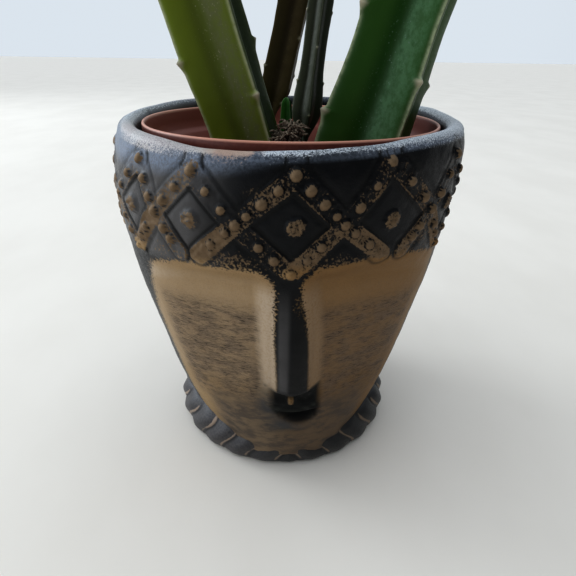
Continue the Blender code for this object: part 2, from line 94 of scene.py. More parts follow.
def smooth(low, high, value):
    """0 at low and 1 at high, with a soft start and end; low may be the larger of the two."""
    t = np.clip((np.asarray(value, float) - low) / (high - low), 0, 1)
    return t * t * (3 - 2 * t)


def hill(value, foot, top, end, far_foot):
    """1 from top to end, fading to 0 at the foot on each side."""
    return smooth(foot, top, value) * smooth(far_foot, end, value)


def bell(value, width):
    """1 at 0, falling off smoothly on both sides."""
    return np.exp(-((value / width) ** 2))


def root(value):
    """Square root, and 0 below 0."""
    return np.sqrt(np.maximum(0, value))


def full_turn(columns):
    """The turns of a number of columns all round, starting at the back."""
    return np.linspace(-math.pi, math.pi, columns, endpoint=False)


def spline(table, value):
    """A smooth curve through a table of places and values, like the one that shapes the solids."""
    at = np.array([row[0] for row in table], float)
    of = np.array([row[1] for row in table], float)
    value = np.clip(value, at[0], at[-1])
    i = np.clip(np.searchsorted(at, value, side="right") - 1, 0, len(at) - 2)
    low, high = np.maximum(i - 1, 0), np.minimum(i + 2, len(at) - 1)
    span = at[i + 1] - at[i]
    start = (of[i + 1] - of[low]) / (at[i + 1] - at[low]) * span
    end = (of[high] - of[i]) / (at[high] - at[i]) * span
    t = (value - at[i]) / span
    return ((2 * t**3 - 3 * t**2 + 1) * of[i] + (t**3 - 2 * t**2 + t) * start
            + (3 * t**2 - 2 * t**3) * of[i + 1] + (t**3 - t**2) * end)


def grain(points, scale, octaves=1, seed=0):
    """Smooth noise from about -1 to 1 at points in millimetres, with features of about 1 / scale."""
    offset = Vector((17.3, -8.1, 4.7)) * seed
    if octaves == 1:
        values = [noise.noise(Vector(p) * scale + offset) for p in points.reshape(-1, 3)]
    else:
        values = [noise.fractal(Vector(p) * scale + offset, 0.9, 2, octaves) for p in points.reshape(-1, 3)]
    return np.array(values).reshape(points.shape[:-1])


def ring_points(radius, turns, height, shift=0):
    """Points at a radius and a height at each turn, which is 0 in front."""
    across, along = shift + radius * np.sin(turns), -radius * np.cos(turns)
    return np.stack(np.broadcast_arrays(across, along, height), axis=-1)


def grid_piece(name, rings, values, shade):
    """A piece from rings of points in millimetres, with a float attribute for each named array of values.

    Its first and last ring are closed towards a point at the ring's own middle.
    """
    rows, columns = rings.shape[:2]
    index = np.arange(rows * columns).reshape(rows, columns)
    right = np.roll(index, -1, axis=1)
    faces = np.stack([index[:-1], right[:-1], right[1:], index[1:]], axis=-1).reshape(-1, 4).tolist()
    first, last = rows * columns, rows * columns + 1
    faces += [(first, b, a) for a, b in zip(index[0].tolist(), right[0].tolist())]
    faces += [(last, a, b) for a, b in zip(index[-1].tolist(), right[-1].tolist())]
    points = np.concatenate([rings.reshape(-1, 3), [rings[0].mean(axis=0), rings[-1].mean(axis=0)]])
    mesh = bpy.data.meshes.new(name)
    mesh.from_pydata((points * MM).tolist(), [], faces)
    for key, array in values.items():
        flat = np.zeros(len(points), np.float32)
        flat[:rows * columns] = array.reshape(-1)
        mesh.attributes.new(key, "FLOAT", "POINT").data.foreach_set("value", flat)
    return piece_from(name, mesh, shade)


def mesh_from(name, bm):
    mesh = bpy.data.meshes.new(name)
    bm.to_mesh(mesh)
    bm.free()
    return mesh


def add_object(name, data):
    made = bpy.data.objects.new(name, data)
    bpy.context.scene.collection.objects.link(made)
    return made


def piece_from(name, mesh, shade):
    """A smoothly shaded object whose faces point out."""
    bm = bmesh.new()
    bm.from_mesh(mesh)
    bmesh.ops.recalc_face_normals(bm, faces=bm.faces)
    bm.to_mesh(mesh)
    bm.free()
    mesh.shade_smooth()
    mesh.materials.append(shade.material)
    return add_object(name, mesh)


class Wiring:
    """Short ways to wire a tree of nodes."""

    def __init__(self, owner):
        owner.use_nodes = True
        self.tree = owner.node_tree

    def put(self, socket, value):
        if isinstance(value, bpy.types.NodeSocket):
            self.tree.links.new(value, socket)
        elif isinstance(value, tuple) and len(value) == 3 and socket.type == "RGBA":
            socket.default_value = (*value, 1)
        else:
            socket.default_value = value

    def node(self, kind, values):
        """A new node with values or links at its named or numbered inputs."""
        made = self.tree.nodes.new("ShaderNode" + kind)
        for key, value in values.items():
            self.put(made.inputs[key], value)
        return made

    def maths(self, operation, a, b):
        made = self.node("Math", {0: a, 1: b})
        made.operation = operation
        return made.outputs[0]

    def step(self, value, low, high, start=0, end=1):
        """A pattern drawn out between low and high, to run smoothly from start to end."""
        made = self.node("MapRange", {"Value": value, "From Min": low, "From Max": high,
                                      "To Min": start, "To Max": end})
        made.interpolation_type = "SMOOTHSTEP"
        return made.outputs["Result"]

    def times(self, a, b):
        return self.maths("MULTIPLY", a, b)

    def plus(self, a, b):
        return self.maths("ADD", a, b)


class Shade(Wiring):
    """A material and its patterns, whose sizes are in features per millimetre."""

    def __init__(self, name, roughness=0.5, specular=0.5):
        self.material = bpy.data.materials.new(name)
        super().__init__(self.material)
        self.shader = self.tree.nodes["Principled BSDF"]
        self.shader.inputs["Roughness"].default_value = roughness
        self.shader.inputs["Specular IOR Level"].default_value = specular
        self.place = self.node("TexCoord", {}).outputs["Object"]

    def around(self, pattern, share):
        """How far a pattern is above or below its middle, times a share."""
        return self.times(self.maths("SUBTRACT", pattern, 0.5), share)

    def part(self, name, share):
        """An attribute times a share."""
        return self.times(self.attribute(name), share)

    def attribute(self, name):
        made = self.node("Attribute", {})
        made.attribute_name = name
        return made.outputs["Fac"]

    def noise(self, per_mm, detail, stretch=(1, 1, 1), rough=0.55):
        place = self.node("Mapping", {"Vector": self.place, "Scale": stretch}).outputs["Vector"]
        made = self.node("TexNoise", {"Vector": place, "Scale": per_mm / MM, "Detail": detail,
                                      "Roughness": rough})
        return made.outputs["Fac"]

    def cells(self, per_mm):
        return self.node("TexVoronoi", {"Vector": self.place, "Scale": per_mm / MM}).outputs["Distance"]

    def mix(self, share, a, b):
        made = self.node("Mix", {})
        made.data_type = "RGBA"
        for number, value in ((0, share), (6, a), (7, b)):
            self.put(made.inputs[number], value)
        return made.outputs[2]

    def bump(self, height, depth, strength):
        made = self.node("Bump", {"Height": height, "Distance": depth * MM, "Strength": strength})
        self.put(self.shader.inputs["Normal"], made.outputs["Normal"])

    def colour(self, value):
        self.put(self.shader.inputs["Base Color"], value)

    def roughness(self, value):
        self.put(self.shader.inputs["Roughness"], value)


def wrapped(azimuth):
    """The same azimuth, between -180 and 180."""
    return (np.asarray(azimuth, float) + 180) % 360 - 180


def crest_height(az):
    """Height of the lip's uneven crest at an azimuth."""
    return spline(CREST_HEIGHTS, wrapped(az))


def crest_lift(az, z):
    """How far a point near the lip is moved up or down to follow the crest."""
    return (crest_height(az) - LIP_CREST) * smooth(*CREST_TAKE_UP, z)


def lattice_node(level, index):
    """Azimuth and height of a crossing of the lattice."""
    pitch = 360 / DIAMONDS
    if level == "top":
        az = index * pitch + TOP_SHIFTS.get(index, 0)
        follow = TOP_FOLLOWS_CREST * float(crest_height(az) - crest_height(0))
        return az, LATTICE_TOP + follow + TOP_LIFTS.get(index, 0)
    if level == "crossing":
        return (index + 0.5) * pitch + CROSSING_SHIFTS.get(index, 0), LATTICE_CROSSING
    return index * pitch + FOOT_SHIFTS.get(index, 0), LATTICE_BOTTOM


def over_cheek(az):
    return CHEEK_SPAN[0] < abs(wrapped(az)) < CHEEK_SPAN[1]


def bands():
    """Each band's places from top through crossing to foot, its beads' shares along it, and its gold."""
    for index in range(-DIAMONDS // 2, DIAMONDS // 2):
        for top, foot in ((index, index + 1), (index + 1, index)):
            start, end = lattice_node("top", top), lattice_node("bottom", foot)
            middle = lattice_node("crossing", index)
            if over_cheek(end[0]):
                share = (middle[1] - BROW_BAND_END) / (middle[1] - end[1])
                end = (middle[0] + share * (end[0] - middle[0]), BROW_BAND_END)
            shares = DENSE_BEADS if top % 4 == 0 else SPARSE_BEADS
            beads = shares + (() if over_cheek(end[0]) else (2,))
            yield (start, middle, end), beads, BAND_GOLD.get((top, foot), PLAIN_GOLD)


def along(places, share):
    """The place at a share of a band: 0 at its top, 1 at its crossing, 2 at its foot."""
    first, last = (places[0], places[1]) if share < 1 else (places[1], places[2])
    part = share if share < 1 else share - 1
    return tuple((1 - part) * a + part * b for a, b in zip(first, last))


def flat_offset(az, z, place):
    """Offsets in millimetres of grid points from a place on the headband, unrolled."""
    return np.radians(wrapped(az - place[0])) * HEADBAND_RADIUS, z - place[1]


def distance_to_band(az, z, places):
    """Distances from a band's bent middle line in millimetres, and which points are on its studs' side."""
    nearest = np.full(az.shape, np.inf)
    stud_side = np.zeros(az.shape)
    for leg, (first, last) in enumerate(zip(places, places[1:])):
        x, y = flat_offset(az, z, first)
        run_x, run_y = flat_offset(np.array(last[0]), np.array(last[1]), first)
        share = np.clip((x * run_x + y * run_y) / (run_x**2 + run_y**2), 0, 1)
        distance = np.hypot(x - share * run_x, y - share * run_y)
        above = (run_x * y - run_y * x) * np.sign(run_x) > 0
        closer = distance < nearest
        stud_side = np.where(closer, above if leg else ~above, stud_side)
        nearest = np.where(closer, distance, nearest)
    return nearest, stud_side


def beads_and_studs(az, z, uneven, gritty):
    """Heights in millimetres of the beads on the bands and of the studs between them."""
    beads, studs = np.zeros(az.shape), np.zeros(az.shape)
    jitter = np.random.default_rng(BEAD_SEED)
    for places, shares, _ in bands():
        for share in shares:
            place = along(places, share)
            size = BEAD_RADIUS * jitter.uniform(*BEAD_SIZES)
            x, y = flat_offset(az, z, place)
            beads = np.maximum(beads, root(size**2 - x**2 - y**2))
    for index in range(-DIAMONDS // 2, DIAMONDS // 2):
        place = (index * 360 / DIAMONDS + STUD_SHIFTS.get(index, 0), STUD_HEIGHT)
        x, y = flat_offset(az, z, place)
        petals = 0.04 * np.sin(9 * np.arctan2(y, x) + index) + 0.1 * uneven
        dome = STUD_RISE * root(1 - (np.hypot(x, y) * (1 + petals) / STUD_RADIUS) ** 2)
        studs = np.maximum(studs, dome * (1 + 0.36 * uneven + 0.42 * gritty))
    return beads, studs


def headband(az, z, points):
    """Relief of the headband in millimetres, and how much each point belongs to each of its forms."""
    wander = grain(points, 0.16, seed=3)
    uneven = grain(points, 0.75, octaves=2, seed=4)
    gritty = grain(points, 1.6, seed=5)
    measured = [distance_to_band(az, z, places) for places, _, _ in bands()]
    distances = [distance for distance, _ in measured]
    inside = [smooth(BAND_HALF_WIDTH + 0.1, BAND_HALF_WIDTH - 0.3, d) for d in distances]
    covered = sum(inside)
    ridge, groove = np.zeros(az.shape), np.zeros(az.shape)
    for (d, stud_side), own in zip(measured, inside):
        free = (1 - np.clip(covered - own, 0, 1)) * np.where(stud_side, 1, 0.45)
        ridge = np.maximum(ridge, free * bell(d - BAND_HALF_WIDTH, 0.3))
        groove = np.maximum(groove, free * bell(d - BAND_HALF_WIDTH - 0.7, 0.42))
    nearest = np.min(distances, axis=0)
    pillow = smooth(BAND_HALF_WIDTH + 0.5, BAND_HALF_WIDTH + 2.4, nearest)
    band = np.clip(covered, 0, 1)
    clinging = np.zeros(az.shape)
    for (_, _, (upper, lower)), own in zip(bands(), inside):
        clinging = np.maximum(clinging, own * (lower + (upper - lower) * smooth(89, 92, z)))
    crown = root(1 - (nearest / BAND_HALF_WIDTH) ** 2)
    foot = band * crown * smooth(88, 84, z) * smooth(0.45, 0.6, clinging)
    strength = np.clip(0.75 + 0.9 * wander, 0.1, 1.3)
    relief = 0.72 * strength * ridge - 0.65 * strength * groove + 0.22 * pillow
    relief += band * (0.06 + 0.26 * uneven + 0.12 * gritty) + foot * (0.8 + 0.35 * uneven)
    beads, studs = beads_and_studs(az, z, uneven, gritty)
    fade = smooth(*LATTICE_FADE, z)
    rise = np.maximum(np.maximum(relief, beads * (1 + 0.05 * gritty)), studs)
    marks = {
        "band": band * fade, "clinging": clinging * fade, "foot": foot,
        "bead": smooth(0.65, 1.35, beads) * fade, "stud": smooth(0.35, 1, studs) * fade,
        "ridge": ridge * strength * fade,
        "groove": (groove + 0.8 * hill(beads, 0.02, 0.3, 0.4, 0.9)) * fade,
    }
    side = np.abs(az)
    shallow = 1 - SIDE_FLATTENING * smooth(*FLAT_SIDE_START, side) * smooth(*FLAT_SIDE_END, side)
    return rise * fade * shallow, marks


# Face: places in degrees from the front and millimetres up, sizes in millimetres
CHEEK_DEPTH = 2.7
CHEEK_FOOT = (20, 42)
CHEEK_SIDE = (24, 50)
CHEEK_CORNER = 6.5
CHEEKS_PART = 0.5
LEFT_NOSE_EDGE = [(30, 4.6), (40, 4.4), (57, 5.2), (67, 5.1), (80, 5)]
RIGHT_NOSE_EDGE = [(30, 5.2), (38, 4.8), (57, 3.8), (65, 2.8), (72, 1.5), (80, 1.5)]
LEFT_BROW = [(-60, 74), (-46, 76.4), (-32, 79.6), (-19, 79.9), (0, 79.7)]
RIGHT_BROW = [(0, 80.4), (10, 80.9), (21, 82), (35, 80.6), (60, 76)]
NOSE_RISE = 2.3
NOSE_HALF_WIDTH = 6
CHIN_RADIUS = 40.3
CHIN_SLOPE = 0.045
CHIN_SIDE = (8, 58)
CHIN_FOOT = (2, 5.5)
MOUTH_AZIMUTH = 3.6

# Mouth: the arc under the nose's tip, the line of the upper lip and the foot of the lower lip, each a curve
# of middle azimuth, height there and bend, and the azimuths where the dark paint and the thin lines fade
NOSE_ARC = (0, 35.2, 0.015)
LIP_LINE = (0.7, 26.1, 0.02)
LOWER_LIP = (4, 21.4, 0.03)
MOUTH_SIDES = ((-10.5, -6), (14.8, 10.6))
RIDGE_SIDES = ((-12.5, -10.5), (12.5, 10.5))


def table(rows, value):
    """Straight lines between a table's places and values."""
    return np.interp(value, [at for at, _ in rows], [of for _, of in rows])


def mouth_curve(curve, azimuth):
    """Height of one of the mouth's curves at an azimuth: it is lowest in its middle."""
    middle, height, bend = curve
    return height + bend * (azimuth - middle) ** 2


def rounded_least(a, b, radius):
    """The smaller of two distances, less near a corner where both are small."""
    corner = radius - np.hypot(np.maximum(radius - a, 0), np.maximum(radius - b, 0))
    return np.minimum(np.minimum(a, b), corner)


def cheek_edge(skin):
    """How far inside its cheek's hollow a point lies, in millimetres, from its edges at nose and brow."""
    az, z, radius = skin
    left = az < CHEEKS_PART
    across = np.radians(az) * radius
    beside = np.where(left, -across - table(LEFT_NOSE_EDGE, z), across - table(RIGHT_NOSE_EDGE, z))
    below = np.where(left, table(LEFT_BROW, az), table(RIGHT_BROW, az)) - z
    return rounded_least(beside, below, CHEEK_CORNER)


def squared_distance(skin, centre, size):
    """Squared distance on the skin from a centre, an azimuth and a height, in shares of a size."""
    az, z, radius = skin
    return (np.radians(az - centre[0]) * radius / size[0]) ** 2 + ((z - centre[1]) / size[1]) ** 2


def oval(skin, centre, size):
    """1 at the middle of a soft oval and 0 at its edge."""
    return root(1 - squared_distance(skin, centre, size))


def mound(skin, centre, size):
    """Like an oval, but fading out without an edge."""
    return np.exp(-squared_distance(skin, centre, size))


def thin_line(skin, curve, width):
    """1 on a curve of the mouth and 0 beside it."""
    az, z, _ = skin
    ends = smooth(*RIDGE_SIDES[0], az) * smooth(*RIDGE_SIDES[1], az)
    return ends * bell(z - mouth_curve(curve, az), width)


def between(skin, low, high, blur):
    """1 between two curves of the mouth and 0 beyond them, fading over blur millimetres."""
    az, z, _ = skin
    above = smooth(-blur, blur, z - mouth_curve(low, az))
    below = smooth(-blur, blur, mouth_curve(high, az) - z)
    return above * below * smooth(*MOUTH_SIDES[0], az) * smooth(*MOUTH_SIDES[1], az)


def mouth_paint(skin):
    """Where the mouth is painted dark, its darkest painted shade, its thin painted highlights, and its grey
    painted sheen.
    """
    az, z, radius = skin
    dark = between(skin, LOWER_LIP, NOSE_ARC, 1.5)
    # Painted shade: darkest in the mouth's groove and in the nostrils.
    black = between(skin, LOWER_LIP, LIP_LINE, 1.3) * smooth(-5, 0, az)
    holes = (mound(skin, (-3.6, 31), (1.9, 2.6))
             + mound(skin, (6.4, 30.6), (4, 2.4)))
    loop = bell(np.hypot(np.radians(az - 6.4) * radius, z - 32.4) - 1.3, 0.3)
    # Painted highlights along the nose's arc, the lip line and the rim of a nostril.
    lines = np.maximum(thin_line(skin, NOSE_ARC, 0.42), thin_line(skin, LIP_LINE, 0.5))
    # Grey painted sheen beside and under the mouth.
    grey = np.maximum(mound(skin, (-9.4, 29), (3.9, 6.8)),
                      mound(skin, (-4, 19.6), (5.5, 2.4)))
    grey = np.clip(1.25 * grey, 0, 1)
    return dark, np.maximum(black, 0.6 * holes), np.maximum(lines, 0.5 * loop), grey


def face(skin):
    """Relief of the face over the bare body."""
    az, z, radius = skin
    side = np.abs(az)
    edge = cheek_edge(skin)
    hollow = smooth(-0.6, 7, edge) * smooth(*CHEEK_FOOT, z) * (1 - smooth(*CHEEK_SIDE, side))
    across = np.radians(side) * radius
    bar = np.cos(0.5 * math.pi * np.clip(across / NOSE_HALF_WIDTH, 0, 1))
    tip = smooth(-1.6, 0.4, z - mouth_curve(NOSE_ARC, az))
    bridge = NOSE_RISE * bar * smooth(76, 52, z) * tip
    beyond = np.maximum(0, CHIN_RADIUS + CHIN_SLOPE * z - radius)
    chin = beyond * (1 - smooth(*CHIN_SIDE, side)) * smooth(*CHIN_FOOT, z)
    lifted = (az, z - 0.012 * (az - MOUTH_AZIMUTH) ** 2, radius)
    nostrils = (oval(skin, (-4.4, 32), (2, 2.2))
                + oval(skin, (6.4, 31.2), (3, 1.9)))
    mouth = (0.8 * mound(lifted, (1.2, 28.6), (8.5, 3))
             + 0.5 * thin_line(skin, LIP_LINE, 0.45)
             + 0.4 * thin_line(skin, NOSE_ARC, 0.42)
             - 0.7 * between(skin, LIP_LINE, NOSE_ARC, 0.8)
             - 0.7 * nostrils
             - 1.9 * oval(lifted, (MOUTH_AZIMUTH + 0.6, 23.8), (7.2, 1.8))
             + 0.9 * mound(lifted, (MOUTH_AZIMUTH - 1.5, 19.6), (5, 2))
             - 0.8 * mound(skin, (MOUTH_AZIMUTH - 2, 15.5), (5, 1.8)))
    nub = 1.3 * oval(skin, (0, 31), (1.1, 1.9))
    return bridge - CHEEK_DEPTH * hollow + chin + mouth + nub


def crowded_turns():
    """Turns of the body's columns, closer together on the face."""
    turns = full_turn(COLUMNS)
    return turns - FRONT_CROWDING * np.sin(turns)


def make_planter():
    """The cast body: rings up the cavity's wall, over the lip, and down the outside with its face."""
    turns = crowded_turns()
    azimuth = np.degrees(turns)
    az, z = np.meshgrid(azimuth, np.concatenate([np.linspace(*row) for row in BODY_ROWS]))
    bare = spline(BODY_PROFILE, z)
    swell = SWELL * smooth(74, 80, z) * (1 - 0.6 * smooth(101, 105.6, z))
    shift = MOUTH_SHIFT * smooth(*SHIFT_HEIGHTS, z)
    level = z + crest_lift(az, z)
    smooth_points = ring_points(bare, np.radians(az), level, shift)
    band_rise, marks = headband(az, level, smooth_points)
    lumps = 0.12 * grain(smooth_points, 0.25, octaves=3, seed=6) + 0.25 * grain(smooth_points, 0.05, seed=7)
    skin = (az, z, bare)
    reach = bare + swell + band_rise + face(skin) + lumps * smooth(106.5, 104, z)
    outside = ring_points(reach, np.radians(az), level, shift)
    rings = inner_rings(turns)
    underside = outside[-1] * (0.5, 0.5, 1)
    count = len(rings)
    values = {}
    for key, array in planter_paint(skin, smooth_points, marks).items():
        values[key] = np.concatenate([np.repeat(array[:1], count, axis=0), array, array[-1:]])
    values["gold"][:count] = 0
    for row, (radius, _) in enumerate(CAVITY_PROFILE + LIP_PROFILE):
        on_lip = float(smooth(46, 47, radius))
        values["wear_and_sheen"][row] = lip_wear_and_sheen(azimuth, 1.2 * max(0, radius - LIP_CREST_RADIUS)) * on_lip
        # Speckled dust and a painted sheen of the sky over the lip.
        values["dust_and_sheen"][row] = table(LIP_DUST_AND_SHEEN, azimuth) * on_lip
    piece = grid_piece("planter_body", np.concatenate([rings, outside, underside[None]]), values,
                       planter_material())
    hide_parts("planter")
    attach(piece, "root")


def inner_rings(turns):
    """Rings of points up the cavity's wall and over the lip."""
    rings = []
    for radius, height in CAVITY_PROFILE + LIP_PROFILE:
        around = ring_points(radius, turns, height)
        wave = LIP_WAVE * grain(around, 0.12, seed=8) * float(smooth(100, 106, height))
        level = height + crest_lift(np.degrees(turns), height) + wave
        rings.append(ring_points(radius + wave, turns, level, MOUTH_SHIFT))
    return np.array(rings)


# Lip, in millimetres: its waves, its crest's radius, and how far over the crest its side starts. Then, by
# azimuth: how much of its paint is gone, down to the cast above 0.5, with a painted sheen of the sky in the
# same mark on the right and far left, how far over the crest that goes, how much speckled dust and painted
# sky sheen it has, and how far that goes. Between the FADED azimuths the headband's gold is dimmer.
LIP_WAVE = 0.15
LIP_CREST_RADIUS = 48.9
LIP_SIDE = 2.9
LIP_WEAR_AND_SHEEN = [(-180, 0.32), (-110, 0.45), (-85, 0.56), (-70, 0.64), (-55, 0.68), (-32, 0.7), (-24, 0.86),
            (-14, 0.88), (-12.8, 0.42), (-11.5, 0.44), (-10, 0.66), (-4, 0.6), (3, 0.52), (16, 0.52),
            (26, 0.66), (45, 0.74), (100, 0.72), (125, 0.45), (180, 0.32)]
FADED_START = (48, 60)
FADED_END = (125, 108)
WEAR_AND_SHEEN_DEPTH = [(-180, 0.3), (-78, 1.2), (-62, 2.6), (-46, 3.2), (-36, 2.6), (-27, 2.1), (-20, 2.5),
              (-14.5, 2.3), (-12, 1.2), (-10, 2), (-3, 2.1), (5, 1.7), (20, 1.9), (40, 2.4), (60, 2.6),
              (100, 2), (125, 0.6), (180, 0.3)]
LIP_DUST_AND_SHEEN = [(-180, 0.2), (-120, 0.6), (-80, 1), (-30, 1), (-18, 0.8), (-8, 0.5), (4, 0.25), (20, 0.5),
            (30, 0.9), (90, 1), (120, 0.6), (180, 0.2)]
DUST_AND_SHEEN_DEPTH = [(-180, 3), (-90, 6), (-60, 8.5), (-35, 7), (-20, 5), (-8, 2.6), (4, 1.2), (60, 2.6),
              (90, 5), (180, 3)]


def lip_wear_and_sheen(azimuth, over):
    """How much paint is gone at a distance over the crest, all above 0.5; on the right it is painted sky
    sheen.
    """
    return np.minimum(table(LIP_WEAR_AND_SHEEN, azimuth), 0.5 + 0.25 * (table(WEAR_AND_SHEEN_DEPTH, azimuth) - over))


# Gold: the azimuths where it ends beside the cheeks, by height on the left, how much of it clings to each
# form of the headband, and loose spots, each an amount, a middle and a size. Below CHIN_TOP it spreads over
# the chin.
LEFT_GOLD_END = [(56, 57), (66, 53.5), (79, 48)]
RIGHT_GOLD_END = 57
GOLD_CORNER = 2.2
RUBBED = {"bead": 1.3, "stud": 0.58, "clinging": 1, "ridge": 0.6, "foot": 0.1, "groove": -0.6}
GOLD_SPOTS = [(0.42, (-12, 99), (5, 2.2)), (0.47, (1.5, 70), (3.4, 8)),
              (0.5, (38, 84.5), (11, 4.5))]
CHIN_TOP = 36


def gold_amount(skin, marks, broad, edge):
    """How much gold there is at each point, 0.5 being its edge."""
    az, z, _ = skin
    side = np.abs(az)
    low = np.where(z < CHIN_TOP, np.maximum(edge, np.minimum(edge + 8, (CHIN_TOP - z) * 0.7)), edge)
    outer = (np.where(az < 0, table(LEFT_GOLD_END, z), RIGHT_GOLD_END) - side) * 0.35
    gold = 0.5 + 0.17 * np.clip(rounded_least(low, outer, GOLD_CORNER), -3, 3)
    rubbed = sum(share * marks[key] for key, share in RUBBED.items()) + 0.16 * broad * marks["band"]
    faded = 1 - 0.62 * smooth(*FADED_START, az) * smooth(*FADED_END, az)
    gold = np.maximum(gold, faded * np.clip(rubbed, 0, 1.3))
    splatter = 0.4 * smooth(7, 0.5, np.abs(z - 81.5)) * smooth(58, 40, side)
    gold = np.maximum(gold, splatter + 0.1 * broad)
    for amount, centre, size in GOLD_SPOTS:
        gold = np.maximum(gold, amount * mound(skin, centre, size))
    return gold


def planter_paint(skin, points, marks):
    """Gold, bare cast, darker chin, painted light and shade outside; 0.5 is an edge of the gold or the bare
    cast.
    """
    az, z, bare = skin
    side = np.abs(az)
    broad = grain(points, 0.09, octaves=2, seed=16)
    edge = cheek_edge(skin)
    dark_mouth, black, lines, grey_mouth = mouth_paint(skin)
    nub = np.clip(2 * oval(skin, (0, 31), (1, 1.8)), 0, 1)
    over = LIP_SIDE + BODY_ROWS[0][0] - z
    scratch = hill(z, 22, 32, 62, 70) * smooth(3, 8, edge) * smooth(52, 44, side)
    inner = hill(edge, -0.5, 0.6, 3, 8.5) * hill(z, 31, 40, 70, 78)
    ridge = hill(z, 30, 36, 56, 66) * smooth(7, 4, np.radians(side) * bare)
    depth = table(DUST_AND_SHEEN_DEPTH, az)
    sheen = hill(az, -170, -112, -34, -14) * smooth(76, 80, z)
    on_nose = hill(z, 36, 38, 66, 76)
    # Painted light on the nose's left flank.
    flank = hill(az, -5.6, -4.2, -2.6, -0.6) * on_nose
    # Painted shade on the nose's right half, away from the light.
    shaded = 0.8 * hill(az, -1.8, 1, 4.2, 5.4) * on_nose * smooth(0.3, -0.6, edge)
    off_cheek = smooth(0.3, 0, smooth(0, 1, edge))
    return {
        "gold": gold_amount(skin, marks, broad, edge),
        "wear_and_sheen": lip_wear_and_sheen(az, over),
        "scratch": scratch,
        # Painted shade in the grooves, the mouth's groove and nostrils, and on the nose's right half.
        "painted_shade": np.clip(np.maximum(np.maximum(1.5 * marks["groove"], black), shaded), 0, 1),
        "lines": lines,
        # Painted light on the cheek's slope beside the nose, weaker on the right.
        "flank": inner * np.where(az < 0, 1, 0.35),
        "chin": smooth(33, 24, z) * smooth(44, 30, side) * smooth(2, 8, z),
        "mouth": np.clip(dark_mouth, 0, 1) * (1 - nub),
        "warm": smooth(-9, -14, az) * (0.45 + 0.55 * smooth(-30, -22, az)) * smooth(-85, -65, az),
        # Speckled dust with a painted sheen of the sky, fading down from the lip.
        "dust_and_sheen": table(LIP_DUST_AND_SHEEN, az) * smooth(depth + 1.5, depth - 3, over),
        "sheen": np.maximum(0.8 * sheen, 0.5 * flank),
        "grey": grey_mouth,
        # Painted light from the left, fading towards the back and the front.
        "left": hill(az, -175, -115, -12, 5),
        "upper": smooth(79.5, 82.5, z) * off_cheek,
        "calm": ridge,
    }


def planter_material():
    """Charcoal paint, gold rubbed over raised and hollow places, bare cast at the lip, and painted sheen
    and shade.
    """
    s = Shade("planter_paint", specular=0.17)
    fine = s.noise(1.6, 4)
    broad = s.noise(0.09, 3)
    specks = s.noise(3.2, 2)
    streaks = s.noise(1.8, 5, stretch=(0.26, 0.26, 2.3), rough=0.72)
    smears = s.noise(0.24, 6, stretch=(0.6, 0.6, 1.5), rough=0.66)
    charcoal = s.mix(s.step(broad, 0.35, 0.65), (0.003, 0.0034, 0.0045), (0.007, 0.0075, 0.009))
    charcoal = s.mix(s.part("sheen", s.step(broad, 0.3, 0.7, 0.7, 1)), charcoal, (0.15, 0.142, 0.14))
    gold = planter_gold(s, fine, specks, streaks, smears)
    loose = s.maths("SUBTRACT", 0.95, s.part("calm", 0.75))
    ragged = s.around(fine, loose)
    amount = s.plus(s.attribute("gold"), ragged)
    gilt = s.step(amount, 0.4, 0.6)
    # Speckled dust and a blue-grey painted sheen of the sky on the lip and the upper body.
    dust_and_sheen = s.part("dust_and_sheen", s.step(fine, 0.3, 0.62, 0.45, 1))
    charcoal = s.mix(dust_and_sheen, charcoal, (0.2, 0.235, 0.3))
    paint = planter_marks_and_shading(s, s.mix(gilt, charcoal, gold), smears)
    patchy = s.plus(s.times(fine, 0.55), s.times(specks, 0.45))
    # Paint gone to the cast at the lip; on its right and far left the same mark paints a sheen of the sky.
    wear_and_sheen_level = s.plus(s.attribute("wear_and_sheen"), s.around(patchy, 0.9))
    wear_and_sheen = s.step(wear_and_sheen_level, 0.38, 0.62)
    s.colour(s.mix(wear_and_sheen, paint, planter_bare(s, broad, specks)))
    s.roughness(s.mix(s.step(amount, 0.35, 0.65), s.step(fine, 0.3, 0.7, 0.3, 0.44), (0.55, 0.55, 0.55)))
    metal = s.times(gilt, s.maths("SUBTRACT", 0.45, s.times(wear_and_sheen, 0.45)))
    s.put(s.shader.inputs["Metallic"], metal)
    rough = s.plus(s.times(fine, 0.6), s.times(specks, 0.4))
    s.bump(rough, 0.22, 0.5)
    return s


def planter_marks_and_shading(s, paint, smears):
    """The darker chin, the mouth's dark paint, grey painted sheen and highlights, and painted shade in
    creases.
    """
    # Browner and darker towards the chin.
    paint = s.mix(s.part("chin", 0.55), paint, (0.19, 0.148, 0.112))
    darker_chin = s.part("chin", s.step(smears, 0.4, 0.6, 0.28, 0.85))
    paint = s.mix(darker_chin, paint, (0.098, 0.08, 0.067))
    # Grey painted sheen by the mouth.
    grey = s.part("grey", s.step(smears, 0.35, 0.6, 0.65, 0.95))
    paint = s.mix(grey, paint, (0.07, 0.068, 0.068))
    paint = s.mix(s.attribute("mouth"), paint, (0.01, 0.011, 0.011))
    # Painted shade, nearly black, in grooves and creases and on the nose's right half.
    paint = s.mix(s.part("painted_shade", 0.9), paint, (0.004, 0.004, 0.004))
    # Painted highlights on the mouth's edges.
    return s.mix(s.part("lines", 0.6), paint, (0.06, 0.062, 0.054))


